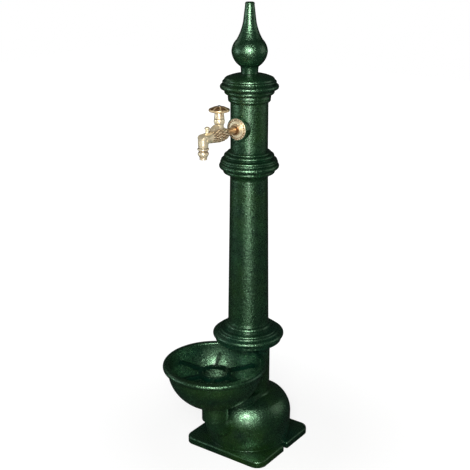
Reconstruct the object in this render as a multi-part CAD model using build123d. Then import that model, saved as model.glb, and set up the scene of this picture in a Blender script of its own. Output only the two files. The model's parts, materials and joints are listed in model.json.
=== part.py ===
import os
from math import asin, degrees, sqrt

from build123d import *

os.makedirs("parts", exist_ok=True)

# The garden standpipe stands on the floor at z = 0, with its column on the Z axis.
# The tap and the bowl are on the front, towards -Y. All sizes are in millimetres.

# Clearances
overrun = 4.0
slip_gap = 0.15
running_gap = 0.06
seat_gap = 0.3

# Foot plate
plate_side = 252.0
plate_t = 18.0
plate_corner_r = 28.0
plate_edge_r = 5.0
slot_w = 14.5
slot_deep = 17.0
slot_lip_r = 4.0

# Bulb and lower shaft
bulb_foot_r = 112.0
bulb_r = 117.2
bulb_top_z = 157.0
lower_shaft_r = 58.4
pedestal_wall = 8.0
neck_bead_r = 62.5
neck_bead_h = 8.0

# Bolted joint between the pedestal and the column
seam_z = 312.0
head_flange_r = 88.0
head_flange_t = 9.0
foot_flange_r = 94.8
foot_flange_rise = 26.0
bolt_circle_r = 76.0
bolt_count = 4
bolt_r = 5.0
bolt_head_r = 9.4
bolt_head_t = 4.6
bolt_deep = 12.0
bolt_end_gap = 2.0

# Column
column_wall = 7.0
shaft_low_r = 54.0
shaft_top_r = 48.7
mid_ring_z = 746.0
mid_ring_h = 74.0
mid_ring_r = 76.3
tap_stretch_r = 47.5
top_ring_z = 943.0
top_ring_h = 45.5
top_ring_r = 73.4
column_mouth_r = 30.0
column_lip_t = 12.0

# Cap, finial and what holds them down
cap_r = 67.5
cap_h = 25.0
cap_crown_r = 24.0
cap_wall = 9.0
cap_spigot_h = 6.0
finial_r = 44.6
finial_h = 171.0
finial_neck_r = 21.6
stud_r = 6.0
stud_below = 26.0
stud_in_finial = 28.0
bridge_long = 74.0
bridge_w = 22.0
bridge_t = 8.0
stud_nut_af = 18.0
stud_nut_t = 10.0

# Bowl
bowl_offset = 151.6
rim_top_z = 289.7
rim_out = 12.1
rim_h = 14.4
rim_edge_r = 4.0
bowl_r = 121.9
bowl_lip = 5.9
bowl_deep = 108.2
bowl_floor_t = 10.5
bowl_wall = 6.6
collar_r = 34.5
collar_low_z = 127.0
tongue_deep = 9.7
niche_gap = 1.0

# Drain of the bowl
waste_r = 18.8
waste_wall = 2.6
waste_flange_r = 26.0
waste_flange_t = 2.4
waste_seal_t = 1.6
waste_tail = 15.0
drain_pipe_r = 26.0
drain_bore_r = 16.0
drain_bend_r = 40.0
saddle_reach = 46.0
saddle_r = 57.0
saddle_top_z = 163.0
saddle_web_half = 30.0

# Grating
grating_drop = 27.7
grating_t = 9.0
grating_hub_r = 42.0
grating_hole_r = 33.0
spoke_count = 6
spoke_w = 10.0

# Water pipe inside the column
riser_r = 10.65
riser_wall = 2.6
riser_thread_r = 10.48
riser_thread_l = 16.0
riser_socket = 14.0

# Tap elbow behind the wall of the column
tap_z = 883.0
elbow_ball_r = 17.0
elbow_socket_r = 15.5
elbow_socket_l = 25.0
elbow_neck_r = 13.0
elbow_collar_r = 18.0
elbow_collar_t = 6.0
elbow_bore_r = 7.5
boss_r = 30.0
boss_face = 53.0
pad_r = 20.0
pad_face = 34.0
backnut_af = 30.0
backnut_t = 3.6

# Rosette
rosette_r = 26.7
rosette_high = 8.5
rosette_cup_r = 18.2
rosette_cup_deep = 4.5
dimple_count = 24
dimple_r = 1.5
dimple_circle_r = 23.4

# Tap body
tail_r = 10.45
tail_thread = 21.5
tap_collar_r = 12.8
tap_collar_t = 3.0
inlet_r = 9.0
belly_start = 98.0
belly_r = 16.6
arm_r = 13.2
head_offset = 126.0
spout_offset = 190.0
spout_r = 12.5
spout_top_z = 895.5
spout_end_z = 863.3
body_neck_r = 10.8
body_top_z = 908.8
knob_offset = 174.0
knob_r = 6.4
knob_top_z = 910.5
brow_w = 14.0
brow_long = 36.0
belly_long = 56.0

# Waterways of the tap
tail_bore_r = 6.5
inlet_bore_r = 3.4
inlet_bore_drop = 3.5
seat_z = 885.0
seat_bore_r = 4.4
chamber_r = 7.2
outlet_bore_r = 4.0
outlet_bore_rise = 6.5
spout_bore_r = 6.0

# Headwork
head_thread_r = 9.0
head_thread_l = 6.8
head_seal_t = 1.0
bonnet_collar_r = 13.3
bonnet_collar_h = 11.6
bonnet_neck_r = 7.0
bonnet_neck_h = 10.0
gland_r = 9.6
gland_cap_t = 3.0
packing_t = 3.0
spindle_thread_r = 6.0
spindle_thread_l = 18.7
stem_r = 4.0
tenon_r = 3.0
tenon_l = 12.0
stem_show = 0.6
jumper_r = 6.3
jumper_t = 2.7
jumper_pin_r = 2.4
jumper_pin_l = 7.0
jumper_washer_r = 5.8
jumper_washer_t = 3.0

# Handwheel
wheel_r = 25.5
wheel_h = 14.0
wheel_lobes = 8
wheel_groove_r = 1.6
wheel_groove_tilt = 18.0
wheel_screw_r = 4.0
wheel_screw_h = 2.2
wheel_screw_shank_r = 1.5
wheel_screw_l = 7.0

# Hose nozzle
nozzle_collar_r = 14.0
nozzle_collar_t = 4.8
nozzle_seal_t = 1.0
nozzle_thread_r = 8.5
nozzle_thread_l = 9.0
nozzle_h = 23.0
nozzle_bulge_r = 13.2
nozzle_tip_r = 9.0
nozzle_tip_l = 5.0

# Mouldings, each row a bead by its middle and end or a flat by its end.
# Every pair is a share of how far the ring stands out and a share of its height.
foot_flange_shares = [
    (0.88, 0.0), (1.00, 0.27, 0.91, 0.52), (0.735, 0.635), (0.65, 0.815, 0.576, 0.79),
    (0.50, 0.954, 0.404, 0.904), (0.22, 0.96), (0.196, 1.19), (0.16, 1.44, 0.037, 1.54), (0.0, 1.85)]
mid_ring_shares = [
    (0.07, 0.13, 0.30, 0.20), (0.46, 0.22), (0.63, 0.29, 0.57, 0.355), (0.73, 0.375),
    (1.00, 0.47, 0.79, 0.58), (0.89, 0.62, 0.80, 0.66), (0.81, 0.70, 0.66, 0.735), (0.48, 0.75),
    (0.42, 0.78), (0.55, 0.845, 0.36, 0.90), (0.20, 0.905), (0.26, 0.945, 0.12, 0.985)]
top_ring_shares = [
    (0.17, 0.05, 0.22, 0.18), (0.25, 0.30, 0.21, 0.40), (0.35, 0.43), (0.58, 0.55, 0.52, 0.66),
    (0.69, 0.70), (1.00, 0.85, 0.75, 1.0)]
cap_shares = [(0.98, 0.06), (1.00, 0.21, 0.94, 0.35), (0.92, 0.51, 0.835, 0.68)]
cap_crown_share = 0.90
bowl_foot_share = 0.97
collar_top_share = 0.94
clearance_hole_share = 1.1
finial_neck_shares = (0.485, 0.05, 0.51, 0.098)
finial_lip_shares = (0.54, 0.105)
finial_belly_shares = [(0.905, 0.218, 1.0, 0.316), (0.937, 0.394, 0.717, 0.482)]
finial_taper_shares = [(0.46, 0.632, 0.345, 0.775), (0.258, 0.965)]
finial_tip_shares = (0.247, 0.991, 0.19, 1.0)
bulb_shares = [(0.990, 0.20, 1.0, 0.43), (0.958, 0.675, 0.828, 0.84), (0.716, 0.895, 0.585, 0.932)]
bulb_fillet_shares = (0.512, 0.955)
rosette_shares = [
    (0.0, 0.974), (0.19, 1.0, 0.353, 0.96), (0.353, 0.770), (0.60, 0.755, 0.66, 0.68),
    (0.68, 0.56), (0.92, 0.53, 1.0, 0.50)]
wheel_shares = [
    (0.29, 0.0), (0.55, 0.16, 0.78, 0.09), (1.0, 0.30, 0.84, 0.586), (0.47, 0.90, 0.17, 1.0)]
rosette_rim_share = 0.353
dimple_lift_share = 0.55
wheel_groove_place_share = 0.62
wheel_groove_high_share = 0.86
wheel_groove_long_share = 0.62
knob_foot_share = 0.80
bonnet_edge_share = 0.5
screw_crown_share = 0.75
nozzle_collar_round_share = 0.25
nozzle_shares = [(0.88, 0.435), (1.0, 0.63, 0.80, 0.85), (0.77, 1.0)]
knob_shares = [
    (0.84, 0.0), (0.75, 0.30, 0.70, 0.60), (0.95, 0.66), (1.0, 0.78, 0.80, 0.90),
    (0.45, 0.98, 0.15, 1.0), (0.0, 1.0)]
spout_shares = [
    (0.93, 0.0), (0.99, 0.18), (1.0, 0.66), (0.95, 0.86, 0.66, 0.95),
    (0.34, 0.99, 0.10, 1.0), (0.0, 1.0)]
belly_shares = [(0.08, 0.70, 0.17, 0.86), (0.50, 1.0, 0.84, 0.90)]
brow_shares = [(0.12, -0.01), (0.50, -0.075, 0.81, -0.24), (0.96, -0.70), (0.12, -0.70)]

# Places that follow from the sizes above
shaft_bore_r = lower_shaft_r - pedestal_wall
rim_r = bowl_r + rim_out
bowl_mouth_r = bowl_r - bowl_lip
rim_low_z = rim_top_z - rim_h
niche_top_z = rim_top_z - tongue_deep
grating_top_z = rim_top_z - grating_drop
bowl_floor_z = rim_low_z - bowl_deep + bowl_floor_t
bowl_hollow_deep = rim_h + bowl_deep - bowl_wall
ring_groove_z = top_ring_z + top_ring_h
cap_top_z = ring_groove_z + cap_h
lip_low_z = ring_groove_z - column_lip_t
mid_ring_top_z = mid_ring_z + mid_ring_h
grating_low_z = grating_top_z - grating_t
bonnet_z = body_top_z + head_seal_t
bonnet_neck_z = bonnet_z + bonnet_collar_h
gland_top_z = bonnet_neck_z + bonnet_neck_h + packing_t + gland_cap_t
jumper_z = seat_z + seat_gap
jumper_plate_z = jumper_z + jumper_washer_t
spindle_z = jumper_plate_z + jumper_t + seat_gap
spindle_thread_top_z = spindle_z + spindle_thread_l
tenon_z = gland_top_z + stem_show
tenon_top_z = tenon_z + tenon_l
wheel_z = tenon_z
nozzle_z = spout_end_z - nozzle_seal_t - nozzle_collar_t
riser_top_z = tap_z - elbow_socket_l + riser_socket
rosette_face = boss_face + rosette_high


def pairs(shares, wide, low, high, base=0.0):
    """Turn rows of shares into rows of real radii and heights."""
    rows = []
    for row in shares:
        radii = [base + wide * value for value in row[0::2]]
        heights = [low + high * value for value in row[1::2]]
        rows.append([value for pair in zip(radii, heights) for value in pair])
    return rows


def outline(rows):
    """Closed face in the local plane: a pair is a straight run, four numbers are an arc."""
    edges = []
    at = tuple(rows[0][-2:])
    for row in rows[1:] + [rows[0][-2:]]:
        end = tuple(row[-2:])
        if len(row) == 4:
            edges.append(ThreePointArc(at, tuple(row[:2]), end))
        elif at != end:
            edges.append(Line(at, end))
        at = end
    return make_face(edges)


def turned(rows, offset=0.0):
    """Solid of revolution about an upright axis, offset towards the front."""
    return Pos(0, -offset, 0) * revolve(Plane.XZ * outline(rows), Axis.Z)


tap_plane = Plane(origin=(0, 0, tap_z), x_dir=(0, -1, 0), z_dir=(-1, 0, 0))
tap_axis = Axis((0, 0, tap_z), (0, -1, 0))


def turned_along_tap(rows):
    """Solid of revolution about the tap's level axis, from pairs of distance and radius."""
    return revolve(tap_plane * outline(rows), tap_axis)


def rod(radius, low, high, offset=0.0):
    """Upright cylinder between two heights."""
    return Pos(0, -offset, low) * extrude(Circle(radius), high - low)


def ring(radius, hole, low, high, offset=0.0):
    """Upright ring between two heights."""
    return Pos(0, -offset, low) * extrude(Circle(radius) - Circle(hole), high - low)


def level_rod(radius, start, end, drop=0.0):
    """Cylinder along the tap's axis, between two distances in front of the column's axis."""
    at = Plane(origin=(0, -start, tap_z - drop), x_dir=(1, 0, 0), z_dir=(0, -1, 0))
    return at * extrude(Circle(radius), end - start)


def hex_bar(across_flats, low, high, offset=0.0):
    """Upright hexagonal bar between two heights."""
    return Pos(0, -offset, low) * extrude(RegularPolygon(across_flats / 2, 6, major_radius=False), high - low)


def bolt_places():
    return [Rot(0, 0, 360 / bolt_count * index) * Pos(bolt_circle_r, 0, 0) for index in range(bolt_count)]


def flange_screw(head_r, thread_r, top_z):
    """Countersunk screw, or the hole for it, with its head flush under the lower flange."""
    low_z = seam_z - head_flange_t
    return turned([
        (0, low_z), (head_r, low_z), (thread_r, low_z + bolt_head_t), (thread_r, top_z), (0, top_z)])


def ellipse_r(height, top_z, radius, deep):
    """Radius of a half ellipsoid bowl at one height."""
    return radius * sqrt(max(0.0, 1 - ((top_z - height) / deep) ** 2))


def half_bowl(radius, deep, top_z, low_z):
    """Solid half ellipsoid that hangs below top_z and is cut flat at low_z."""
    tilt = degrees(asin((top_z - low_z) / deep))
    curve = EllipticalCenterArc((0, top_z), radius, deep, -tilt, arc_size=tilt)
    face = make_face([
        curve,
        Line((radius, top_z), (0, top_z)),
        Line((0, top_z), (0, low_z)),
        Line((0, low_z), curve @ 0)])
    return Pos(0, -bowl_offset, 0) * revolve(Plane.XZ * face, Axis.Z)


def bowl_envelope(gap):
    """The outside of the bowl without its hollow, grown by a gap."""
    bowl = half_bowl(bowl_r + gap, bowl_deep + gap, rim_low_z, rim_low_z - bowl_deep * bowl_foot_share)
    collar = rod(collar_r + gap, collar_low_z, rim_low_z, bowl_offset)
    rim = rod(rim_r + gap, rim_low_z - gap, rim_top_z + gap, bowl_offset)
    return bowl + collar + rim


# Castings


def foot_plate():
    """Square plate with round corners and an open bolt slot in the middle of two sides."""
    sheet = RectangleRounded(plate_side, plate_side, plate_corner_r)
    for side in (1, -1):
        end_x = side * (plate_side / 2 - slot_deep + slot_w / 2)
        mouth_x = side * plate_side / 2
        sheet -= Pos(end_x, 0) * Circle(slot_w / 2)
        sheet -= Pos((end_x + mouth_x) / 2, 0) * Rectangle(abs(mouth_x - end_x), slot_w)
    lips = [
        corner for corner in sheet.vertices()
        if abs(abs(corner.X) - plate_side / 2) < slip_gap and abs(abs(corner.Y) - slot_w / 2) < slip_gap]
    sheet = fillet(lips, slot_lip_r)
    plate = extrude(sheet, plate_t)
    return fillet(plate.faces().sort_by(Axis.Z)[-1].edges(), plate_edge_r)


def bulb_rows(radius, height, shaft_r):
    """Outline of the bulb from its foot up to the shaft."""
    rows = pairs(bulb_shares, radius, plate_t, height)
    rows.append(pairs([bulb_fillet_shares], radius, plate_t, height)[0] + [shaft_r, plate_t + height])
    return rows


def make_pedestal():
    bulb_h = bulb_top_z - plate_t
    flange_z = seam_z - head_flange_t
    bead_z = flange_z - neck_bead_h
    body = turned(
        [(0, 0), (bulb_foot_r, 0), (bulb_foot_r, plate_t)]
        + bulb_rows(bulb_r, bulb_h, lower_shaft_r)
        + [(lower_shaft_r, bead_z),
           (neck_bead_r, bead_z + neck_bead_h / 2, lower_shaft_r, flange_z),
           (head_flange_r, flange_z), (head_flange_r, seam_z), (0, seam_z)])
    saddle = rod(lower_shaft_r, plate_t, saddle_top_z) + rod(saddle_r, plate_t, saddle_top_z, saddle_reach)
    saddle += Pos(0, -saddle_reach / 2, (plate_t + saddle_top_z) / 2) * Box(
        saddle_r * 2, saddle_reach, saddle_top_z - plate_t)
    web_long = bowl_offset - collar_r
    saddle += Pos(0, -web_long / 2, (saddle_top_z + rim_low_z) / 2) * Box(
        saddle_web_half * 2, web_long, rim_low_z - saddle_top_z)
    saddle &= rod(saddle_reach + saddle_r, plate_t, rim_low_z)
    body += saddle + drain_elbow(drain_pipe_r) + foot_plate()
    inside = turned(
        [(0, -overrun), (bulb_foot_r - pedestal_wall, -overrun), (bulb_foot_r - pedestal_wall, plate_t)]
        + bulb_rows(bulb_r - pedestal_wall, bulb_h - pedestal_wall, shaft_bore_r)
        + [(shaft_bore_r, seam_z + overrun), (0, seam_z + overrun)])
    body -= inside
    body -= drain_elbow(drain_bore_r)
    body -= rod(waste_r + slip_gap, collar_low_z - waste_tail, collar_low_z + overrun, bowl_offset)
    niche_w = (rim_r + bowl_offset) * 2
    body -= bowl_envelope(niche_gap) & Pos(0, -bowl_offset, (collar_low_z + niche_top_z) / 2) * Box(
        niche_w, niche_w, niche_top_z - collar_low_z)
    body -= ring(rim_r + niche_gap, bowl_mouth_r - niche_gap, niche_top_z, rim_top_z + niche_gap, bowl_offset)
    for place in bolt_places():
        body -= place * flange_screw(bolt_head_r + slip_gap, bolt_r * clearance_hole_share, seam_z + overrun)
    return body


def drain_elbow(radius):
    """Quarter bend from under the bowl's collar back into the bulb."""
    top = Plane(origin=(0, -bowl_offset, collar_low_z), z_dir=(0, 0, -1))
    centre = (0, -bowl_offset + drain_bend_r, collar_low_z)
    bend = revolve(top * Circle(radius), Axis(centre, (1, 0, 0)), 90)
    run_low_y = -bowl_offset + drain_bend_r
    run_l = bowl_offset - drain_bend_r - bulb_foot_r + pedestal_wall * 2
    face = Plane(origin=(0, run_low_y, collar_low_z - drain_bend_r), z_dir=(0, 1, 0))
    return bend + face * extrude(Circle(radius), run_l)


def make_column():
    rise = foot_flange_r - shaft_low_r
    mid_step = mid_ring_r - shaft_top_r
    flange = pairs(foot_flange_shares, rise, seam_z, foot_flange_rise, shaft_low_r)
    mid = pairs(mid_ring_shares, mid_step, mid_ring_z, mid_ring_h, shaft_top_r)
    top = pairs(top_ring_shares, top_ring_r - tap_stretch_r, top_ring_z, top_ring_h, tap_stretch_r)
    body = turned(
        [(0, seam_z)] + flange + [(shaft_top_r, mid_ring_z)] + mid
        + [(tap_stretch_r, mid_ring_top_z), (tap_stretch_r, top_ring_z)] + top + [(0, ring_groove_z)])
    body += level_rod(boss_r, 0, boss_face)
    body -= turned([
        (0, seam_z - overrun), (shaft_low_r - column_wall, seam_z - overrun),
        (shaft_low_r - column_wall, seam_z), (shaft_top_r - column_wall, mid_ring_z),
        (tap_stretch_r - column_wall, mid_ring_top_z), (tap_stretch_r - column_wall, lip_low_z),
        (column_mouth_r, lip_low_z), (column_mouth_r, ring_groove_z + overrun), (0, ring_groove_z + overrun)])
    body += level_rod(pad_r, pad_face, boss_face)
    body -= level_rod(elbow_neck_r + slip_gap, 0, boss_face + overrun)
    for place in bolt_places():
        body -= place * rod(bolt_r + slip_gap, seam_z - overrun, seam_z + bolt_deep + bolt_end_gap)
    return body


def make_cap():
    rows = pairs(cap_shares, cap_r, ring_groove_z, cap_h)
    crown_mid_r = (cap_crown_r + rows[-1][-2]) / 2
    crown_mid_z = ring_groove_z + cap_h * cap_crown_share
    outer = turned(
        [(0, ring_groove_z), (cap_r * cap_shares[0][0], ring_groove_z)] + rows
        + [(crown_mid_r, crown_mid_z, cap_crown_r, cap_top_z), (0, cap_top_z)])
    outer += rod(column_mouth_r - slip_gap, ring_groove_z - cap_spigot_h, ring_groove_z)
    hollow_r = column_mouth_r - cap_wall
    outer -= turned([
        (0, ring_groove_z - cap_spigot_h - overrun), (hollow_r, ring_groove_z - cap_spigot_h - overrun),
        (hollow_r, cap_top_z - cap_wall), (0, cap_top_z - cap_wall)])
    return outer - rod(stud_r + slip_gap, ring_groove_z, cap_top_z + overrun)


def make_finial():
    shares = [finial_neck_shares, finial_lip_shares] + finial_belly_shares + finial_taper_shares
    rows = pairs(shares + [finial_tip_shares], finial_r, cap_top_z, finial_h)
    body = turned([(0, cap_top_z), (finial_neck_r, cap_top_z)] + rows + [(0, cap_top_z + finial_h)])
    return body - rod(stud_r + slip_gap, cap_top_z - overrun, cap_top_z + stud_in_finial + seat_gap)


def make_basin():
    rim_mid_r = rim_r - rim_h / 2
    body = half_bowl(bowl_r, bowl_deep, rim_low_z, rim_low_z - bowl_deep * bowl_foot_share)
    body += rod(collar_r, collar_low_z, rim_low_z - bowl_deep * collar_top_share, bowl_offset)
    body += turned([
        (0, rim_low_z), (rim_mid_r, rim_low_z),
        (rim_r, rim_low_z + rim_h / 2, rim_mid_r, rim_top_z), (0, rim_top_z)], bowl_offset)
    body -= half_bowl(bowl_mouth_r, bowl_hollow_deep, rim_top_z, bowl_floor_z)
    body -= rod(waste_r + slip_gap, collar_low_z - overrun, bowl_floor_z + overrun, bowl_offset)
    mouth = body.edges().filter_by(GeomType.CIRCLE).filter_by_position(
        Axis.Z, rim_top_z - slip_gap, rim_top_z + slip_gap).sort_by(SortBy.RADIUS)[0]
    return fillet(mouth, rim_edge_r)


def make_grating():
    """Wheel-shaped grate whose spokes rest on the taper of the bowl."""
    rest_r = ellipse_r(grating_low_z, rim_top_z, bowl_mouth_r, bowl_hollow_deep) - seat_gap
    wheel = Circle(grating_hub_r) - Circle(grating_hole_r)
    reach = (rest_r + grating_hole_r) / 2
    for index in range(spoke_count):
        place = Rot(0, 0, 360 / spoke_count * index) * Pos(reach, 0)
        wheel += place * Rectangle(rest_r + overrun - grating_hole_r, spoke_w) - Circle(grating_hole_r)
    wheel &= Circle(rest_r)
    return Pos(0, -bowl_offset, grating_low_z) * extrude(wheel, grating_t)


# Fasteners, drain and water pipe


def make_flange_bolts():
    screw = flange_screw(bolt_head_r, bolt_r, seam_z + bolt_deep)
    return Compound([place * screw for place in bolt_places()])


def make_basin_waste():
    top_z = bowl_floor_z + waste_seal_t
    body = rod(waste_flange_r, top_z, top_z + waste_flange_t, bowl_offset)
    body += rod(waste_r, collar_low_z - waste_tail, top_z, bowl_offset)
    return body - rod(waste_r - waste_wall, collar_low_z - waste_tail - overrun, top_z + overrun, bowl_offset)


def make_waste_seal():
    return ring(waste_flange_r, waste_r + slip_gap, bowl_floor_z, bowl_floor_z + waste_seal_t, bowl_offset)


def make_riser_pipe():
    body = rod(riser_thread_r, 0, riser_thread_l) + rod(riser_r, riser_thread_l, riser_top_z)
    return body - rod(riser_r - riser_wall, -overrun, riser_top_z + overrun)


def make_tap_elbow():
    low_z = tap_z - elbow_socket_l
    neck_end = boss_face + rosette_cup_deep - seat_gap
    body = Pos(0, 0, tap_z) * Sphere(elbow_ball_r)
    body += rod(elbow_socket_r, low_z, tap_z)
    body += level_rod(elbow_socket_r, 0, pad_face - elbow_collar_t)
    body += level_rod(elbow_collar_r, pad_face - elbow_collar_t, pad_face)
    body += level_rod(elbow_neck_r, pad_face, neck_end)
    body -= rod(riser_r + slip_gap, low_z - overrun, riser_top_z)
    body -= rod(elbow_bore_r, riser_top_z, tap_z)
    body -= level_rod(elbow_bore_r, 0, neck_end)
    return body - level_rod(tail_r + slip_gap, rosette_face - tail_thread, neck_end + overrun)


def make_elbow_backnut():
    at = Plane(origin=(0, -boss_face, tap_z), x_dir=(1, 0, 0), z_dir=(0, -1, 0))
    nut = at * extrude(RegularPolygon(backnut_af / 2, 6, major_radius=False), backnut_t)
    return nut - level_rod(elbow_neck_r + slip_gap, boss_face - overrun, boss_face + backnut_t + overrun)


def make_finial_stud():
    return rod(stud_r, lip_low_z - stud_below, cap_top_z + stud_in_finial)


def make_cap_bridge():
    bar = Pos(0, 0, lip_low_z - bridge_t / 2) * Box(bridge_long, bridge_w, bridge_t)
    return bar - rod(stud_r + slip_gap, lip_low_z - bridge_t - overrun, lip_low_z + overrun)


def make_stud_nut():
    top_z = lip_low_z - bridge_t
    nut = hex_bar(stud_nut_af, top_z - stud_nut_t, top_z)
    return nut - rod(stud_r + slip_gap, top_z - stud_nut_t - overrun, top_z + overrun)


# Tap


def make_rosette():
    """Wall plate: a dimpled rim, a step and a hub, hollow behind for the backnut."""
    rows = pairs(rosette_shares, rosette_high, 0, rosette_r, boss_face)
    disc = turned_along_tap([(boss_face, 0)] + rows + [(rosette_face, 0)])
    disc -= level_rod(rosette_cup_r, boss_face - overrun, boss_face + rosette_cup_deep)
    disc -= level_rod(tail_r + slip_gap, boss_face, rosette_face + overrun)
    ball_front = boss_face + rosette_high * rosette_rim_share + dimple_r * dimple_lift_share
    for index in range(dimple_count):
        turn = Pos(0, 0, tap_z) * Rot(0, 360 / dimple_count * index, 0)
        disc -= turn * Pos(0, -ball_front, dimple_circle_r) * Sphere(dimple_r)
    return disc


def body_shell():
    """Outside of the tap body: tail, inlet, belly, arm, spout, neck, brow and knob."""
    collar_end = rosette_face + tap_collar_t
    belly = pairs(belly_shares, belly_long, 0, belly_r, belly_start)
    tail_end = rosette_face - tail_thread
    body = turned_along_tap(
        [(tail_end, 0), (tail_end, tail_r), (rosette_face, tail_r), (rosette_face, tap_collar_r),
         (collar_end, tap_collar_r), (collar_end, inlet_r), (belly_start, inlet_r)]
        + belly + [(belly_start + belly_long, arm_r), (spout_offset, arm_r), (spout_offset, 0)])
    spout = pairs(spout_shares, spout_r, spout_end_z, spout_top_z - spout_end_z)
    body += turned([(0, spout_end_z)] + spout, spout_offset)
    body += rod(body_neck_r, tap_z, body_top_z, head_offset)
    knob_low_z = tap_z + arm_r * knob_foot_share
    knob = pairs(knob_shares, knob_r, knob_low_z, knob_top_z - knob_low_z)
    body += turned([(0, knob_low_z)] + knob, knob_offset)
    brow = outline(pairs(brow_shares, brow_long, body_top_z - tap_z, brow_long, head_offset))
    return body + extrude(tap_plane * brow, brow_w / 2, both=True)


def make_tap_body():
    thread_low_z = body_top_z - head_thread_l - seat_gap
    nozzle_hole_top_z = spout_end_z + nozzle_thread_l + seat_gap
    body = body_shell()
    body -= level_rod(tail_bore_r, rosette_face - tail_thread - overrun, rosette_face + tap_collar_t)
    body -= level_rod(inlet_bore_r, rosette_face, head_offset + seat_bore_r, inlet_bore_drop)
    body -= rod(seat_bore_r, tap_z - inlet_bore_drop, seat_z + overrun, head_offset)
    body -= rod(chamber_r, seat_z, body_top_z, head_offset)
    body -= rod(head_thread_r + slip_gap, thread_low_z, body_top_z + overrun, head_offset)
    body -= level_rod(outlet_bore_r, head_offset, spout_offset, -outlet_bore_rise)
    body -= rod(spout_bore_r, spout_end_z - overrun, tap_z + outlet_bore_rise, spout_offset)
    return body - rod(nozzle_thread_r + slip_gap, spout_end_z - overrun, nozzle_hole_top_z, spout_offset)


def make_tap_bonnet():
    low_z = body_top_z - head_thread_l
    collar_edge_r = body_neck_r + (bonnet_collar_r - body_neck_r) * bonnet_edge_share
    body = turned([
        (0, low_z), (head_thread_r, low_z), (head_thread_r, bonnet_z), (collar_edge_r, bonnet_z),
        (bonnet_collar_r, bonnet_z + bonnet_collar_h / 2, collar_edge_r, bonnet_neck_z),
        (bonnet_neck_r, bonnet_neck_z), (bonnet_neck_r, bonnet_neck_z + bonnet_neck_h),
        (0, bonnet_neck_z + bonnet_neck_h)], head_offset)
    body -= rod(spindle_thread_r + running_gap, low_z - overrun, bonnet_neck_z, head_offset)
    return body - rod(stem_r + running_gap, low_z, gland_top_z, head_offset)


def make_bonnet_seal():
    return ring(body_neck_r, head_thread_r + slip_gap, body_top_z, bonnet_z, head_offset)


def make_gland_nut():
    low_z = bonnet_neck_z + seat_gap
    body = ring(gland_r, stem_r + running_gap, low_z, gland_top_z, head_offset)
    body -= rod(bonnet_neck_r + slip_gap, low_z - overrun, gland_top_z - gland_cap_t, head_offset)
    rims = body.edges().filter_by(GeomType.CIRCLE).group_by(SortBy.RADIUS)[-1]
    return fillet(rims.sort_by(Axis.Z)[-1], gland_cap_t / 2)


def make_gland_packing():
    low_z = bonnet_neck_z + bonnet_neck_h
    return ring(bonnet_neck_r, stem_r + running_gap, low_z, low_z + packing_t, head_offset)


def make_spindle():
    body = rod(spindle_thread_r, spindle_z, spindle_thread_top_z, head_offset)
    body += rod(stem_r, spindle_z, tenon_z, head_offset)
    body += rod(tenon_r, tenon_z, tenon_top_z, head_offset)
    body -= rod(jumper_pin_r + running_gap, spindle_z - overrun, spindle_z + jumper_pin_l, head_offset)
    screw_low_z = tenon_top_z - wheel_screw_l
    return body - rod(wheel_screw_shank_r + slip_gap, screw_low_z, tenon_top_z + overrun, head_offset)


def make_jumper_valve():
    top_z = jumper_plate_z + jumper_t
    body = rod(jumper_r, jumper_plate_z, top_z, head_offset)
    body += rod(jumper_pin_r, top_z, top_z + jumper_pin_l, head_offset)
    return body + rod(jumper_pin_r, jumper_z + seat_gap, jumper_plate_z, head_offset)


def make_jumper_washer():
    return ring(jumper_washer_r, jumper_pin_r + slip_gap, jumper_z, jumper_plate_z, head_offset)


def make_handwheel():
    """Domed wheel with grooves that run from the crown to the rim."""
    top_z = wheel_z + wheel_h
    body = turned([(0, wheel_z)] + pairs(wheel_shares, wheel_r, wheel_z, wheel_h) + [(0, top_z)], head_offset)
    groove_at = Pos(wheel_r * wheel_groove_place_share, 0, wheel_z + wheel_h * wheel_groove_high_share)
    groove_l = wheel_r * wheel_groove_long_share
    groove = groove_at * Rot(0, 90 + wheel_groove_tilt, 0) * Cylinder(wheel_groove_r, groove_l)
    for index in range(wheel_lobes):
        body -= Pos(0, -head_offset, 0) * Rot(0, 0, 360 / wheel_lobes * index) * groove
    return body - rod(tenon_r + slip_gap, wheel_z - overrun, top_z + overrun, head_offset)


def make_handwheel_screw():
    low_z = wheel_z + wheel_h
    head = turned([
        (0, low_z), (wheel_screw_r, low_z),
        (wheel_screw_r * screw_crown_share, low_z + wheel_screw_h * screw_crown_share,
         wheel_screw_shank_r, low_z + wheel_screw_h), (0, low_z + wheel_screw_h)], head_offset)
    return head + rod(wheel_screw_shank_r, tenon_top_z - wheel_screw_l + seat_gap, low_z, head_offset)


def make_hose_nozzle():
    tip_z = nozzle_z - nozzle_h
    rows = [(nozzle_tip_r, tip_z), (nozzle_tip_r, tip_z + nozzle_tip_l)]
    rows += pairs(nozzle_shares, nozzle_bulge_r, tip_z, nozzle_h)
    collar_mid_z = nozzle_z + nozzle_collar_t / 2
    collar_top_z = nozzle_z + nozzle_collar_t
    collar_edge_r = nozzle_collar_r - nozzle_collar_t * nozzle_collar_round_share
    body = turned(
        [(0, tip_z)] + rows + [
            (collar_edge_r, nozzle_z), (nozzle_collar_r, collar_mid_z, collar_edge_r, collar_top_z),
            (0, collar_top_z)], spout_offset)
    body += rod(nozzle_thread_r, nozzle_z, spout_end_z + nozzle_thread_l, spout_offset)
    return body - rod(spout_bore_r, tip_z - overrun, spout_end_z + nozzle_thread_l + overrun, spout_offset)


def make_nozzle_seal():
    seal_r = spout_r * spout_shares[0][0]
    return ring(seal_r, nozzle_thread_r + slip_gap, spout_end_z - nozzle_seal_t, spout_end_z, spout_offset)


def save(solid, name):
    solid.label = name
    export_step(solid, f"parts/{name}.step")
    print(name, round(solid.volume), "mm3")


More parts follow.
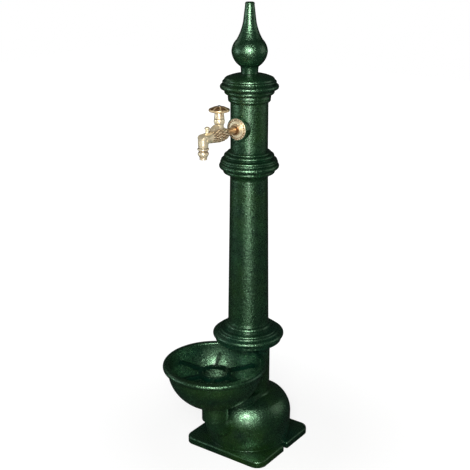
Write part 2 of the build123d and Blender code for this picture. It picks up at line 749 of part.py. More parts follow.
pieces = {
    "pedestal": make_pedestal, "column": make_column, "cap": make_cap, "finial": make_finial,
    "basin": make_basin, "grating": make_grating,
    "flange_bolts": make_flange_bolts,
    "basin_waste": make_basin_waste, "waste_seal": make_waste_seal,
    "riser_pipe": make_riser_pipe, "tap_elbow": make_tap_elbow, "elbow_backnut": make_elbow_backnut,
    "finial_stud": make_finial_stud, "cap_bridge": make_cap_bridge, "stud_nut": make_stud_nut,
    "rosette": make_rosette, "tap_body": make_tap_body, "tap_bonnet": make_tap_bonnet,
    "bonnet_seal": make_bonnet_seal, "gland_nut": make_gland_nut, "gland_packing": make_gland_packing,
    "spindle": make_spindle, "jumper_valve": make_jumper_valve, "jumper_washer": make_jumper_washer,
    "handwheel": make_handwheel, "handwheel_screw": make_handwheel_screw,
    "hose_nozzle": make_hose_nozzle, "nozzle_seal": make_nozzle_seal,
}

for name, make in pieces.items():
    save(make(), name)
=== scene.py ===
# %% [markdown]
# A garden standpipe: a green cast column with a bowl at its foot and a brass tap near its top.
# The packed solids arrive as a fixed frame. We dress them with paint, brass, steel and rubber,
# and add or model again a few forms of the tap and foot that the plain solids only hint at.

# %% Load the fixed frame
import json
import math

import bmesh
import bpy
from mathutils import Matrix, Vector


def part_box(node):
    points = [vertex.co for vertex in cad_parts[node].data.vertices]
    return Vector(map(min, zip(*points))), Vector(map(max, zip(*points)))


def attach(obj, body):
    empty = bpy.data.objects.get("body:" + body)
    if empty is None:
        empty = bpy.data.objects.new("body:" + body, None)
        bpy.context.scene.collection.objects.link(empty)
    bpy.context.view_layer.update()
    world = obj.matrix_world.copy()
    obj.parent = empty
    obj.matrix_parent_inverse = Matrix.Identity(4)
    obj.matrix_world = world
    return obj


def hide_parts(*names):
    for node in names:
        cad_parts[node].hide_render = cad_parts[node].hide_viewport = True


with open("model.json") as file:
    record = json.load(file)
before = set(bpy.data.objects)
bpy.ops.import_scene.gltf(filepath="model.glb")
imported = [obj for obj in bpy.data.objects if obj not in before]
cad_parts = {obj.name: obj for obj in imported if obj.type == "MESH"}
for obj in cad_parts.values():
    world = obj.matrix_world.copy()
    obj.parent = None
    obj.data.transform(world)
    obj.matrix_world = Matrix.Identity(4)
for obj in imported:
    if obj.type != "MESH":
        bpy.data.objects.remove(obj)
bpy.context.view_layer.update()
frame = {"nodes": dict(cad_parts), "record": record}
scene = bpy.context.scene

# %% [markdown]
# Photographers place the camera first. This one stands a little over two metres away, to the
# right of the front and higher than the column, and looks down at it. Its lens and its place were
# worked out from how the rings and the square plate foreshorten.

# %% Camera
camera_turn = math.radians(35.5)
camera_dip = math.radians(18.8)
camera_away = 2.300
camera_aside = 0.0357
camera_high = 1.377
camera_lens = 71.6
sensor_wide = 36.0

ahead = Vector((-math.sin(camera_turn), math.cos(camera_turn), 0))
aside = Vector((math.cos(camera_turn), math.sin(camera_turn), 0))
camera = bpy.data.objects.new("camera", bpy.data.cameras.new("camera"))
scene.collection.objects.link(camera)
camera.data.lens = camera_lens
camera.data.sensor_width = sensor_wide
camera.location = -camera_away * ahead - camera_aside * aside + Vector((0, 0, camera_high))
camera.rotation_euler = (math.pi / 2 - camera_dip, 0, camera_turn)
scene.camera = camera
print("camera at", [round(value, 3) for value in camera.location])

# %% [markdown]
# The light is a plain studio. A bright key lamp close to the camera makes the long shine down the
# middle of the column, a low lamp under it reaches the bulb, and a broad soft box round it feeds
# the brass. Weak lamps at the left, the right and the back keep the far edges from going black.
# A small bright lamp behind a glossy casting breaks into white flecks on its edge, so the right
# lamp, which stands behind the column from many sides, is broad and dim.

# %% Lamps
aim_high = 0.6


def lamp(name, turn, rise, away, width, power, tint):
    """Square soft lamp that looks at the middle of the column. Turn and rise are in degrees."""
    data = bpy.data.lights.new(name, "AREA")
    data.size = width
    data.energy = power
    data.color = tint
    piece = bpy.data.objects.new(name, data)
    scene.collection.objects.link(piece)
    middle = Vector((0, 0, aim_high))
    turn = math.radians(turn)
    rise = math.radians(rise)
    level = away * math.cos(rise)
    piece.location = middle + Vector((math.sin(turn) * level, -math.cos(turn) * level, away * math.sin(rise)))
    piece.rotation_euler = (middle - piece.location).to_track_quat("-Z", "Y").to_euler()
    return piece


lamps = [
    lamp("key_lamp", 31, 25, 2.9, 0.75, 66, (1.0, 1.0, 0.97)),
    lamp("low_lamp", 34, -7, 2.6, 0.5, 8, (1.0, 1.0, 0.96)),
    lamp("soft_box", 24, 18, 3.1, 2.2, 15, (1.0, 0.99, 0.96)),
    lamp("left_lamp", -50, 8, 3.2, 1.2, 12, (0.86, 0.96, 1.0)),
    lamp("right_lamp", 128, 14, 3.0, 1.8, 6, (1.0, 1.0, 0.96)),
    lamp("back_lamp", 268, 34, 3.2, 1.2, 2.5, (1.0, 1.0, 1.0)),
]
print("lamps", {piece.name: piece.data.energy for piece in lamps})

# %% [markdown]
# The backdrop is white, but a white room would also pour light on the object from all sides and
# wash out its dark paint. So the world is asked what kind of ray looks at it: the camera's own
# rays, and those that gloss and clear things send on, see white, and all others meet a weak glow.

# %% Backdrop
backdrop_white = 1.0
room_light = 0.08


def new_node(tree, kind, **settings):
    """Node of one kind, with its own settings, such as an operation."""
    node = tree.nodes.new("ShaderNode" + kind)
    for setting, value in settings.items():
        setattr(node, setting, value)
    return node


def even_light(tree, strength):
    """White background light of one strength."""
    light = new_node(tree, "Background")
    light.inputs["Color"].default_value = (1, 1, 1, 1)
    light.inputs["Strength"].default_value = strength
    return light


world = bpy.data.worlds.new("studio")
scene.world = world
world.use_nodes = True
world_tree = world.node_tree
world_tree.nodes.clear()
world_rays = new_node(world_tree, "LightPath")
seen = world_rays.outputs["Is Camera Ray"]
for ray_kind in ("Is Glossy Ray", "Is Transmission Ray"):
    either = new_node(world_tree, "Math", operation="MAXIMUM")
    world_tree.links.new(seen, either.inputs[0])
    world_tree.links.new(world_rays.outputs[ray_kind], either.inputs[1])
    seen = either.outputs[0]
choice = new_node(world_tree, "MixShader")
world_tree.links.new(seen, choice.inputs[0])
world_tree.links.new(even_light(world_tree, room_light).outputs[0], choice.inputs[1])
world_tree.links.new(even_light(world_tree, backdrop_white).outputs[0], choice.inputs[2])
world_tree.links.new(choice.outputs[0], new_node(world_tree, "OutputWorld").inputs["Surface"])
scene.view_settings.view_transform = "Standard"
print("world nodes", len(world_tree.nodes))

# %% [markdown]
# Every finish below is a small tree of nodes. Real paint and metal are never one even colour, so
# each tree mixes two or three close tones by noise, and breaks up the gloss with a fine grain.
# The helper starts such a tree and gives one place per surface point to all its noises, so that
# a stain stays where it is when the piece moves.

# %% Helper for finishes


class Finish:
    """A material that is built node by node."""

    def __init__(self, name):
        self.material = bpy.data.materials.new(name)
        self.material.use_nodes = True
        self.tree = self.material.node_tree
        self.shader = self.tree.nodes["Principled BSDF"]
        self.place = new_node(self.tree, "TexCoord").outputs["Object"]

    def link(self, start, end):
        self.tree.links.new(start, end)

    def set(self, socket, value):
        """Sets one of the shader's sockets to a number, a colour or another node's output."""
        if isinstance(value, bpy.types.NodeSocket):
            self.link(value, self.shader.inputs[socket])
        elif isinstance(value, tuple):
            self.shader.inputs[socket].default_value = value + (1.0,)
        else:
            self.shader.inputs[socket].default_value = value

    def grain(self, size, detail=3.0, rough=0.55):
        """Noise whose features are about that many metres across."""
        node = new_node(self.tree, "TexNoise")
        node.inputs["Scale"].default_value = 1 / size
        node.inputs["Detail"].default_value = detail
        node.inputs["Roughness"].default_value = rough
        self.link(self.place, node.inputs["Vector"])
        return node.outputs["Fac"]

    def ramp(self, value, low, high):
        """Spreads the part of a value between low and high over 0 to 1."""
        node = new_node(self.tree, "MapRange", clamp=True)
        node.inputs["From Min"].default_value = low
        node.inputs["From Max"].default_value = high
        self.link(value, node.inputs["Value"])
        return node.outputs["Result"]

    def levels(self, value, low, high):
        """Turns 0 to 1 into low to high."""
        node = new_node(self.tree, "MapRange")
        node.inputs["To Min"].default_value = low
        node.inputs["To Max"].default_value = high
        self.link(value, node.inputs["Value"])
        return node.outputs["Result"]

    def blend(self, amount, first, second):
        """Colour between two tones, each a colour or another node's output."""
        node = new_node(self.tree, "Mix", data_type="RGBA")
        self.link(amount, node.inputs["Factor"])
        for tone, socket in ((first, node.inputs[6]), (second, node.inputs[7])):
            if isinstance(tone, tuple):
                socket.default_value = tone + (1.0,)
            else:
                self.link(tone, socket)
        return node.outputs[2]


print("what a finish offers", [name for name in vars(Finish) if not name.startswith("_")])

# %% [markdown]
# Brush marks, casting grain and scratches are too fine to build as a mesh. A bump node only tilts
# the shading by the slope of a noise, which is all that the eye sees of them. Each noise comes
# with the real height of its relief. A bevel node does the same for sharp edges: in the shading
# they look rounded, while the shape stays as it is.

# %% Fine relief
edge_samples = 6


def add_relief(finish, heights, edge=0.0):
    """Fine relief from pairs of a noise and its real height, on edges that look rounded."""
    before = None
    if edge:
        round_edge = new_node(finish.tree, "Bevel", samples=edge_samples)
        round_edge.inputs["Radius"].default_value = edge
        before = round_edge.outputs["Normal"]
    for value, height in heights:
        node = new_node(finish.tree, "Bump")
        node.inputs["Strength"].default_value = 1.0
        node.inputs["Distance"].default_value = height
        finish.link(value, node.inputs["Height"])
        if before:
            finish.link(before, node.inputs["Normal"])
        before = node.outputs["Normal"]
    finish.set("Normal", before)


print("samples for a rounded edge", edge_samples)

# %% [markdown]
# Patina and painted shade sit in hollows, and bulges keep the full gloss, so a finish has to know
# which is which. From each surface point a few short feelers go out: the fewer of them meet a
# surface within their reach, the more open the place is.

# %% Hollows and bulges
hollow_seen = 0.55
open_seen = 0.97
sky_samples = 8


def open_sky(finish, reach):
    """How open a surface point is: 0 deep in a hollow, 1 out on a bulge."""
    node = new_node(finish.tree, "AmbientOcclusion", samples=sky_samples)
    node.inputs["Distance"].default_value = reach
    return finish.ramp(node.outputs["AO"], hollow_seen, open_seen)


print("feelers for a hollow", sky_samples)

# %% [markdown]
# The castings carry a thick green gloss with a grain in it, under a thin clear coat. From a
# distance it is a deep bottle green that drifts between a bluish and a yellowish tone, and close
# up the shine breaks into small mint speckles. Slow noise gives the drift and a fine relief gives
# the speckles. Thick paint also runs round every corner, so its edges are rounded in the shading.
# In a hollow the gloss is turned down as painted shade, since a hollow sees little of the room.
# The bowl is one big hollow, so its paint feels less far for what is near. The loose grating is
# worn nearly matt.

# %% Green paint
paint_deep = (0.0022, 0.0115, 0.0057)
paint_blue = (0.0022, 0.0250, 0.0150)
paint_leaf = (0.0095, 0.0310, 0.0042)
paint_shine = (0.53, 1.0, 0.60)
drift_size = 0.20
drift_spread = (0.40, 0.60)
cloud_size = 0.05
cloud_spread = (0.35, 0.70)
ripple_size = 0.0140
ripple_high = 0.0009
sparkle_size = 0.0030
sparkle_high = 0.00085
sparkle_rough = 0.6
sparkle_spread = (0.35, 0.65)
paint_smoothest = 0.20
paint_roughest = 0.40
paint_ior = 1.80
paint_edge = 0.0016
paint_reach = 0.035
bowl_reach = 0.010
grating_gloss = 0.18
coat_share = 0.30
coat_rough = 0.16
hollow_gloss_share = 0.30


def make_paint(name, reach, gloss):
    """Green gloss paint that sees other surfaces within a reach."""
    paint = Finish(name)
    drift = paint.ramp(paint.grain(drift_size, 1.0), *drift_spread)
    cloud = paint.ramp(paint.grain(cloud_size), *cloud_spread)
    paint.set("Base Color", paint.blend(cloud, paint_deep, paint.blend(drift, paint_blue, paint_leaf)))
    sparkle = paint.grain(sparkle_size, 2.0, sparkle_rough)
    speckle = paint.ramp(sparkle, *sparkle_spread)
    paint.set("Roughness", paint.levels(speckle, paint_smoothest, paint_roughest))
    add_relief(paint, [(paint.grain(ripple_size, 2.0), ripple_high), (sparkle, sparkle_high)], paint_edge)
    paint.set("Metallic", 0.0)
    paint.set("Coat Weight", coat_share * gloss)
    paint.set("Coat Roughness", coat_rough)
    paint.set("IOR", paint_ior)
    # Painted shade: the gloss drops in hollows, by how closed in they are.
    paint.set("Specular IOR Level", paint.levels(open_sky(paint, reach), hollow_gloss_share * gloss, gloss))
    paint.set("Specular Tint", paint_shine)
    return paint.material


green_paint = make_paint("green_paint", paint_reach, 1.0)
basin_paint = make_paint("basin_paint", bowl_reach, 1.0)
grating_paint = make_paint("grating_paint", bowl_reach, grating_gloss)
print("paint nodes", len(green_paint.node_tree.nodes))

# %% [markdown]
# Cast brass that is handled every day is cream and bright where hands polish it, and it goes
# brown in its hollows. The tree mixes a bright and a brown tone by noise and puts a third, darker
# tone into the hollows, which is patina and painted shade at once. A plain metal shader would
# mirror the dark room and look grey, so this one is only part metal: the rest shows its colour as
# an old, lightly tarnished skin does. A piece whose brown follows its shape hands in a function
# that marks where the bright tone goes instead: outside painted shade, or on a painted highlight.

# %% Brass
cream = (1.0, 0.86, 0.60)
honey = (0.60, 0.36, 0.16)
russet = (0.44, 0.27, 0.13)
umber = (0.13, 0.045, 0.012)
brass_metal = 0.62
brass_smoothest = 0.24
brass_roughest = 0.38
hollow_reach = 0.006
stain_size = 0.011
stain_rough = 0.6
dent_size = 0.006
dent_high = 0.0003
scuff_size = 0.0016
scuff_high = 0.00006


def make_brass(name, tones, brown_from, brown_to, bright_mask=None):
    """Cast brass in a bright, a brown and a deep tone, brown where its noise is high."""
    bright, brown, deep = tones
    brass = Finish(name)
    stain = brass.ramp(brass.grain(stain_size, 4.0, stain_rough), brown_from, brown_to)
    # Patina and painted shade: the deep tone fills the hollows.
    tone = brass.blend(open_sky(brass, hollow_reach), deep, brass.blend(stain, bright, brown))
    # Painted light: the bright tone goes where the shape function asks, outside painted shade or on a painted
    # highlight.
    if bright_mask:
        tone = brass.blend(bright_mask(brass), tone, bright)
    brass.set("Base Color", tone)
    scuff = brass.grain(scuff_size)
    brass.set("Roughness", brass.levels(scuff, brass_smoothest, brass_roughest))
    add_relief(brass, [(brass.grain(dent_size, 2.0), dent_high), (scuff, scuff_high)])
    brass.set("Metallic", brass_metal)
    return brass.material


bright_brass = make_brass("bright_brass", (cream, honey, umber), 0.50, 0.85)
feather_brass = make_brass("feather_brass", (cream, honey, umber), 0.40, 0.80)
print("brass nodes", len(bright_brass.node_tree.nodes))

# %% [markdown]
# Wear on the tap follows its shape: it sits on ridges, round a middle, or beyond some place. All
# of these can be worked out from where a surface point lies. We take its three distances from a
# middle and do plain arithmetic on them, one node a step.

# %% Marks that follow a shape


def work_out(finish, operation, first, second=None):
    """One step of arithmetic on an output, alone or with another output or a number."""
    node = new_node(finish.tree, "Math", operation=operation)
    finish.link(first, node.inputs[0])
    if isinstance(second, (int, float)):
        node.inputs[1].default_value = second
    elif second:
        finish.link(second, node.inputs[1])
    return node.outputs[0]


def seen_from(finish, middle):
    """Left-right, front-back and height of a surface point, measured from a middle."""
    shift = new_node(finish.tree, "VectorMath", operation="SUBTRACT")
    shift.inputs[1].default_value = middle
    finish.link(finish.place, shift.inputs[0])
    parts = new_node(finish.tree, "SeparateXYZ")
    finish.link(shift.outputs[0], parts.inputs[0])
    return parts.outputs["X"], parts.outputs["Y"], parts.outputs["Z"]


def waves_round(finish, first, second, count):
    """Even waves round a middle, from -1 to 1, by the angle between two directions."""
    turn = work_out(finish, "ARCTAN2", first, second)
    return work_out(finish, "COSINE", work_out(finish, "MULTIPLY", turn, count))


def far_from(finish, first, second):
    """How far a surface point lies from a middle, across two directions."""
    first_square = work_out(finish, "MULTIPLY", first, first)
    second_square = work_out(finish, "MULTIPLY", second, second)
    return work_out(finish, "SQRT", work_out(finish, "ADD", first_square, second_square))


wheel_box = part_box("handwheel")
wheel_middle = Vector((0, (wheel_box[0][1] + wheel_box[1][1]) / 2, 0))
rosette_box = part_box("rosette")
tap_high = (rosette_box[0][2] + rosette_box[1][2]) / 2
print("wheel middle", [round(value, 4) for value in wheel_middle], "tap middle line", round(tap_high, 4))

# %% [markdown]
# The top of the handwheel is nearly black-brown between pale ridges, which are painted highlights.
# They run out from its middle, so a wave of the angle round the spindle marks them. The height
# marks the rim, which carries a painted highlight all round.

# %% Brass of the handwheel
wheel_ridges = 8
groove_wave = 0.35
ridge_wave = 0.95
wheel_rim_high = 0.0045
rim_top = wheel_box[0][2] + wheel_rim_high
rim_fade = 0.003
wheel_tones = ((0.95, 0.72, 0.42), (0.20, 0.085, 0.028), (0.08, 0.03, 0.010))


def wheel_painted_highlights(finish):
    """Painted highlights on the ridges and rim of the wheel."""
    side, front, high = seen_from(finish, wheel_middle)
    ridge = finish.ramp(waves_round(finish, front, side, wheel_ridges), groove_wave, ridge_wave)
    rim = finish.ramp(high, rim_top + rim_fade, rim_top)
    return work_out(finish, "MAXIMUM", ridge, rim)


dark_brass = make_brass("dark_brass", wheel_tones, 0.22, 0.52, wheel_painted_highlights)
print("rim top", round(rim_top, 4))

# %% [markdown]
# The rosette has a ring of small dimples near its rim, and they are brown as painted shade. The
# way out from the tap's middle line finds their ring, and a wave of the angle round that line
# finds each dimple in it. Close to the inlet the plate is brown too, as painted shade round the inlet.

# %% Brass of the rosette
dimple_count = 24
dimple_circle = 0.0234
dimple_band = 0.0026
dimple_core_share = 0.6
dimple_wave = 0.45
bead_wave = -0.25
inlet_shade_to = 0.0125
plate_unshaded_from = 0.0155


def rosette_unshaded(finish):
    """The rosette outside its painted shade, in the dimples and round the inlet."""
    side, _, high = seen_from(finish, (0, 0, tap_high))
    away = far_from(finish, side, high)
    off_circle = work_out(finish, "ABSOLUTE", work_out(finish, "SUBTRACT", away, dimple_circle))
    off_ring = finish.ramp(off_circle, dimple_band * dimple_core_share, dimple_band)
    between = finish.ramp(waves_round(finish, side, high, dimple_count), dimple_wave, bead_wave)
    # Painted shade: the plate is brown close to the inlet.
    plate = finish.ramp(away, inlet_shade_to, plate_unshaded_from)
    off_dimples = work_out(finish, "MAXIMUM", off_ring, between)
    return work_out(finish, "MULTIPLY", off_dimples, plate)


rosette_brass = make_brass("rosette_brass", (cream, honey, umber), -0.2, 0.5, rosette_unshaded)
print("rosette brass nodes", len(rosette_brass.node_tree.nodes))

# %% [markdown]
# On the tap body itself the brown is painted shade: it stays on the inlet, which lies in shade
# between the rosette and the belly, and between the feathers of the belly. The spout and the neck
# keep the bright tone. Both change over a short stretch, so two ramps along the body's own
# directions are enough.

# %% Brass of the tap body
spout_unshaded_from = 0.156
spout_unshaded_to = 0.168
neck_unshaded_from = 0.890
neck_unshaded_to = 0.902


def body_unshaded(finish):
    """Spout and neck of the tap, outside the painted shade."""
    _, front, high = seen_from(finish, (0, 0, 0))
    spout = finish.ramp(front, -spout_unshaded_from, -spout_unshaded_to)
    return work_out(finish, "MAXIMUM", spout, finish.ramp(high, neck_unshaded_from, neck_unshaded_to))


body_brass = make_brass("body_brass", (cream, russet, umber), -0.3, 0.3, body_unshaded)
print("body brass nodes", len(body_brass.node_tree.nodes))

# %% [markdown]
# The bolts, the studs and the pipe are steel with a thin zinc coat, dull and faintly mottled.
# Rubber seals are nearly black and show only a broad grey sheen. Both sit inside or below, where
# little is seen of them, so one slow and one fine noise each are enough.

# %% Steel and rubber
mottle_size = 0.008
mottle_spread = (0.35, 0.65)
steel_grain_size = 0.0012
rubber_black = (0.012, 0.012, 0.012)
rubber_dusty = (0.030, 0.030, 0.028)
dust_size = 0.004
dust_spread = (0.45, 0.75)
rubber_grain_size = 0.0008
rubber_smoothest = 0.55
rubber_roughest = 0.75
fine_high = 0.00004


def make_steel(name, pale, grey, smoothest, roughest):
    """Zinc-coated steel, mottled between two greys."""
    steel = Finish(name)
    mottle = steel.ramp(steel.grain(mottle_size), *mottle_spread)
    steel.set("Base Color", steel.blend(mottle, pale, grey))
    fine = steel.grain(steel_grain_size, 2.0)
    steel.set("Roughness", steel.levels(fine, smoothest, roughest))
    add_relief(steel, [(fine, fine_high)])
    steel.set("Metallic", 1.0)
    return steel.material


def make_rubber():
    """Black rubber with a little dust on it."""
    rubber = Finish("black_rubber")
    dust = rubber.ramp(rubber.grain(dust_size), *dust_spread)
    rubber.set("Base Color", rubber.blend(dust, rubber_black, rubber_dusty))
    fine = rubber.grain(rubber_grain_size, 2.0)
    rubber.set("Roughness", rubber.levels(fine, rubber_smoothest, rubber_roughest))
    add_relief(rubber, [(fine, fine_high)])
    return rubber.material


zinc_steel = make_steel("zinc_steel", (0.50, 0.51, 0.52), (0.34, 0.35, 0.36), 0.30, 0.46)
pipe_steel = make_steel("pipe_steel", (0.38, 0.39, 0.40), (0.24, 0.25, 0.26), 0.40, 0.56)
black_rubber = make_rubber()
print("finishes so far", len(bpy.data.materials))

# %% [markdown]
# Each solid names its finish in the record, so one loop dresses them all. Four solids have a
# finish of their own, which is a kind of the one that the record names.

# %% Dress the solids
finishes = {
    "green_paint": green_paint,
    "bright_brass": bright_brass,
    "aged_brass": dark_brass,
    "zinc_steel": zinc_steel,
    "pipe_steel": pipe_steel,
    "black_rubber": black_rubber,
}
own_finishes = {
    "basin": basin_paint,
    "grating": grating_paint,
    "rosette": rosette_brass,
    "tap_body": body_brass,
}
slots = {row["node"]: row["material_slot"] for row in frame["record"]["subparts"]}


def dress(piece, material):
    """One finish all over a piece."""
    piece.data.materials.clear()
    piece.data.materials.append(material)


for name, solid in frame["nodes"].items():
    dress(solid, own_finishes.get(name, finishes[slots[name]]))
print("dressed", len(slots))

# %% [markdown]
# Small cast forms, such as feathers and beads, could be drawn in a bump, but then the edge of the
# piece stays smooth. Here they are real forms that lie on the solid: a ray from outside finds the
# place and the slope there, and a small flattened ball is laid on that spot.

# %% Forms that lie on a solid's surface
ray_from = 0.05


def surface_spot(node, start, toward):
    """Where a ray first meets a solid, and the surface's direction there."""
    hit, spot, normal, _ = frame["nodes"][node].ray_cast(start, toward.normalized())
    return (spot, normal) if hit else None


def pebble(mesh, spot, normal, along, sizes, segments, rings):
    """Flattened ball on a surface, long along one direction."""
    side = normal.cross(along).normalized()
    along = side.cross(normal).normalized()
    turn = Matrix((along, side, normal)).transposed().to_4x4()
    scale = Matrix.Diagonal((sizes[0], sizes[1], sizes[2], 1.0))
    place = Matrix.Translation(spot) @ turn @ scale
    bmesh.ops.create_uvsphere(mesh, u_segments=segments, v_segments=rings, radius=1.0, matrix=place)


def new_piece(name, mesh, material):
    """Turns a mesh into a dressed object of the scene."""
    data = bpy.data.meshes.new(name)
    mesh.to_mesh(data)
    mesh.free()
    piece = bpy.data.objects.new(name, data)
    scene.collection.objects.link(piece)
    dress(piece, material)
    return piece


def finish_piece(name, mesh, material):
    """Smooth, dressed piece that stands still with the column."""
    piece = new_piece(name, mesh, material)
    for face in piece.data.polygons:
        face.use_smooth = True
    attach(piece, "root")
    return piece


belly_foot, _ = surface_spot("tap_body", Vector((0, wheel_middle.y, tap_high - ray_from)), Vector((0, 0, 1)))
print("belly reaches down to", round(belly_foot.z, 4))

# %% [markdown]
# The tap's belly is cast with rows of overlapping feathers. Long pebbles in rings round the
# belly, each ring shifted by half a feather against the last, overlap like that. The rings stay
# open at the top, where the neck rises.

# %% Feathers of the belly
feather_long = 0.0062
feather_wide = 0.0029
feather_high = 0.0026
feather_sink_share = 0.25
feather_first = 0.1065
feather_step = 0.0105
feather_rows = 6
feathers_round = 13
feather_arc = math.radians(318)
feather_top = 0.8965
feather_sides = 12
feather_rings = 7


def make_feathers():
    mesh = bmesh.new()
    for row in range(feather_rows):
        place = feather_first + feather_step * row
        shift = 0.5 * (row % 2)
        for index in range(feathers_round):
            turn = feather_arc * ((index + shift) / feathers_round - 0.5)
            out = Vector((math.sin(turn), 0, -math.cos(turn)))
            found = surface_spot("tap_body", Vector((0, -place, tap_high)) + out * ray_from, -out)
            if found and found[0].z < feather_top:
                spot, normal = found
                spot = spot - normal * feather_high * feather_sink_share
                pebble(mesh, spot, normal, Vector((0, -1, 0)),
                       (feather_long, feather_wide, feather_high), feather_sides, feather_rings)
    return finish_piece("feathers", mesh, feather_brass)


feathers = make_feathers()
print("feathers", len(feathers.data.vertices))

# %% [markdown]
# The casting of the tap turns its corner above the spout with a slanted flat. We copy the solid
# body, join the loose corners of its faces, slice it with a plane and close the cut with new
# faces. The waterways inside stay whole, since the plane passes above them.

# %% Tap body with a slanted corner
slant_top = Vector((0, -0.1905, 0.8962))
slant_end = Vector((0, -0.2025, 0.8862))
weld_gap = 0.000001
crisp_angle = math.radians(38)


def crisp_edges(mesh):
    """Keeps real corners hard and gentle turns smooth."""
    for edge in mesh.edges:
        edge.smooth = edge.calc_face_angle(0) < crisp_angle


def slant_corner():
    mesh = bmesh.new()
    mesh.from_mesh(frame["nodes"]["tap_body"].data)
    bmesh.ops.remove_doubles(mesh, verts=mesh.verts, dist=weld_gap)
    outward = (slant_end - slant_top).cross(Vector((1, 0, 0))).normalized()
    near = [face for face in mesh.faces if any(corner.co.y < slant_top.y for corner in face.verts)]
    edges = list({edge for face in near for edge in face.edges})
    corners = list({corner for face in near for corner in face.verts})
    cut = bmesh.ops.bisect_plane(mesh, geom=near + edges + corners, plane_co=slant_top,
                                 plane_no=outward, clear_outer=True)
    rim = [item for item in cut["geom_cut"] if isinstance(item, bmesh.types.BMEdge)]
    bmesh.ops.triangle_fill(mesh, edges=rim, use_beauty=True, normal=outward)
    left_open = [edge for edge in mesh.edges if len(edge.link_faces) == 1]
    print("slant rim", len(rim), "edges, left open", len(left_open))
    crisp_edges(mesh)
    piece = finish_piece("slanted_tap_body", mesh, body_brass)
    if "custom_normal" in piece.data.attributes:
        piece.data.attributes.remove(piece.data.attributes["custom_normal"])
    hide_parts("tap_body")
    return piece


tap_casting = slant_corner()

# %% [markdown]
# The sleeve-shaped nut under the wheel is stout: it swells a little at its foot and has a soft
# top edge. A lathe makes it from a bar, and so do we: half of its section, drawn as radii and
# heights, is carried once round the spindle.

# %% Sleeve nut
nut_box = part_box("gland_nut")
nut_gap = 0.0002
nut_low = nut_box[0][2] + nut_gap
nut_top = nut_box[1][2]
nut_foot_radius = 0.0122
nut_swell_radius = 0.0124
nut_swell_high = 0.0026
nut_waist_radius = 0.0114
nut_waist_high = 0.0071
nut_shoulder_radius = 0.0112
nut_lip_radius = 0.0106
nut_lip_deep = 0.0012
nut_hollow_radius = 0.0074
nut_hollow_high = 0.0126
nut_hole_radius = 0.0046
nut_steps = 96
nut_section = (
    (nut_hollow_radius, nut_low),
    (nut_foot_radius, nut_low),
    (nut_swell_radius, nut_low + nut_swell_high),
    (nut_waist_radius, nut_low + nut_waist_high),
    (nut_shoulder_radius, nut_top - nut_lip_deep),
    (nut_lip_radius, nut_top),
    (nut_hole_radius, nut_top),
    (nut_hole_radius, nut_low + nut_hollow_high),
    (nut_hollow_radius, nut_low + nut_hollow_high),
)


def swept_ring(name, section, middle, steps, material):
    """Closed ring: a section of radii and heights, carried once round an upright axis."""
    mesh = bmesh.new()
    rows = []
    for step in range(steps):
        turn = 2 * math.pi * step / steps
        out = Vector((math.cos(turn), math.sin(turn), 0))
        places = [middle + out * radius + Vector((0, 0, high)) for radius, high in section]
        rows.append([mesh.verts.new(place) for place in places])
    for step in range(steps):
        row, following = rows[step], rows[(step + 1) % steps]
        for part in range(len(section)):
            beyond = (part + 1) % len(section)
            mesh.faces.new((row[part], following[part], following[beyond], row[beyond]))
    crisp_edges(mesh)
    return finish_piece(name, mesh, material)


sleeve_nut = swept_ring("sleeve_nut", nut_section, wheel_middle, nut_steps, bright_brass)
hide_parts("gland_nut")
print("nut from", round(nut_low, 4), "to", round(nut_top, 4), "m")

# %% [markdown]
# Between two dimples of the rosette stands a bead. The beads are round pebbles, laid on the plate
# half a step round from the dimples.

# %% Beads of the rosette
bead_size = 0.0019
bead_sides = 10
bead_rings = 6
bead_ray_from = 0.09


def make_beads():
    mesh = bmesh.new()
    for index in range(dimple_count):
        turn = 2 * math.pi * (index + 0.5) / dimple_count
        out = Vector((math.sin(turn), 0, math.cos(turn)))
        start = Vector((0, -bead_ray_from, tap_high)) + out * dimple_circle
        found = surface_spot("rosette", start, Vector((0, 1, 0)))
        if found:
            spot, normal = found
            pebble(mesh, spot, normal, Vector((out.z, 0, -out.x)),
                   (bead_size, bead_size, bead_size), bead_sides, bead_rings)
    return finish_piece("beads", mesh, bright_brass)


beads = make_beads()
print("beads", len(beads.data.vertices))

# %% [markdown]
# Where the bulb stands on its plate, a thin raised line of paint and iron runs round it. A ring
# with a small round section gives it, by the same sweep as the nut. A ray down to a corner of the
# plate finds how high the plate's top lies.

# %% Line round the bulb's foot
corner_inset = 0.015
above_corner = Vector(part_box("pedestal")[1]) - Vector((corner_inset, corner_inset, 0))
plate_spot, _ = surface_spot("pedestal", above_corner, Vector((0, 0, -1)))
foot_line_rise = 0.0004
foot_line_high = plate_spot.z + foot_line_rise
foot_line_radius = 0.1128
foot_line_thick = 0.0012
foot_line_sides = 8
foot_line_steps = 160
line_section = []
for side in range(foot_line_sides):
    tilt = 2 * math.pi * side / foot_line_sides
    line_section.append((foot_line_radius + foot_line_thick * math.cos(tilt),
                         foot_line_high + foot_line_thick * math.sin(tilt)))
column_axis = Vector((0, 0, 0))
foot_line = swept_ring("foot_line", line_section, column_axis, foot_line_steps, green_paint)
print("plate top", round(plate_spot.z, 4), "foot line", [round(side, 4) for side in foot_line.dimensions])

# %% [markdown]
# The floor is a plain pale sheet that keeps the object's soft shadow. Near the foot it is partly
# lit by the lamps, so the shadow shows; further out it glows as white as the backdrop, so that
# no horizon shows.

# %% Floor
floor_half = 6.0
floor_shade = 0.26
shade_from = 0.25
shade_to = 0.85
floor_glow = 1.12
fleck_size = 0.3
fleck_spread = (0.3, 0.7)
floor_grey = (0.86, 0.86, 0.86)
floor_pale = (0.90, 0.90, 0.90)
floor_rough = 0.9


def set_surface(finish, output):
    """Makes a node's output the whole look of a material."""
    finish.link(output, finish.tree.nodes["Material Output"].inputs["Surface"])


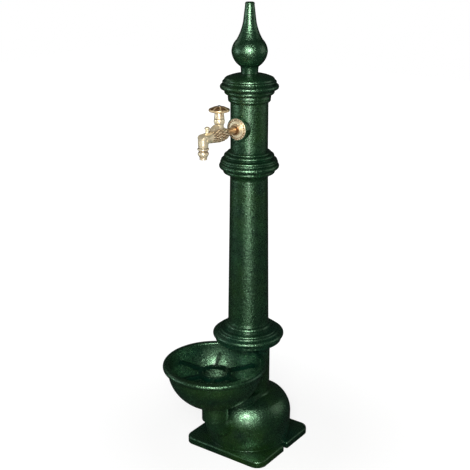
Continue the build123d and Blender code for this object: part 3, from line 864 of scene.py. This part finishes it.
def make_glow(finish, tone, strength):
    """Even light that a surface gives off by itself."""
    glow = new_node(finish.tree, "Emission")
    glow.inputs["Color"].default_value = tone + (1.0,)
    glow.inputs["Strength"].default_value = strength
    return glow.outputs[0]


def make_floor():
    finish = Finish("pale_floor")
    fleck = finish.ramp(finish.grain(fleck_size, 2.0), *fleck_spread)
    finish.set("Base Color", finish.blend(fleck, floor_grey, floor_pale))
    finish.set("Roughness", floor_rough)
    finish.set("Specular IOR Level", 0.0)
    away = new_node(finish.tree, "VectorMath", operation="LENGTH")
    finish.link(finish.place, away.inputs[0])
    far = finish.levels(finish.ramp(away.outputs["Value"], shade_from, shade_to), 1 - floor_shade, 1.0)
    rays = new_node(finish.tree, "LightPath")
    pick = new_node(finish.tree, "MixShader")
    finish.link(work_out(finish, "MULTIPLY", far, rays.outputs["Is Camera Ray"]), pick.inputs[0])
    finish.link(finish.shader.outputs[0], pick.inputs[1])
    finish.link(make_glow(finish, (1.0, 1.0, 1.0), floor_glow), pick.inputs[2])
    set_surface(finish, pick.outputs[0])
    sheet = bmesh.new()
    bmesh.ops.create_grid(sheet, x_segments=1, y_segments=1, size=floor_half)
    piece = new_piece("floor", sheet, finish.material)
    piece.visible_glossy = False
    return piece


floor = make_floor()
print("floor", [round(value, 2) for value in floor.dimensions])

# %% [markdown]
# Real gloss mirrors the room, and most of a room is unlit. A dark dome that only reflections see
# stands for it. Without the dome the gloss would mirror the white backdrop from every side, and
# the paint would look like grey glass.

# %% Dark hall for reflections
hall_radius = 5.0
hall_tone = (0.020, 0.022, 0.021)
hall_sides = 48
hall_rings = 24


def make_hall():
    finish = Finish("hall_wall")
    set_surface(finish, make_glow(finish, hall_tone, 1.0))
    dome = bmesh.new()
    bmesh.ops.create_uvsphere(dome, u_segments=hall_sides, v_segments=hall_rings, radius=hall_radius)
    piece = new_piece("hall", dome, finish.material)
    piece.visible_camera = False
    piece.visible_diffuse = False
    piece.visible_transmission = False
    piece.visible_shadow = False
    return piece


hall = make_hall()
print("hall", [round(value, 2) for value in hall.dimensions])

# %% [markdown]
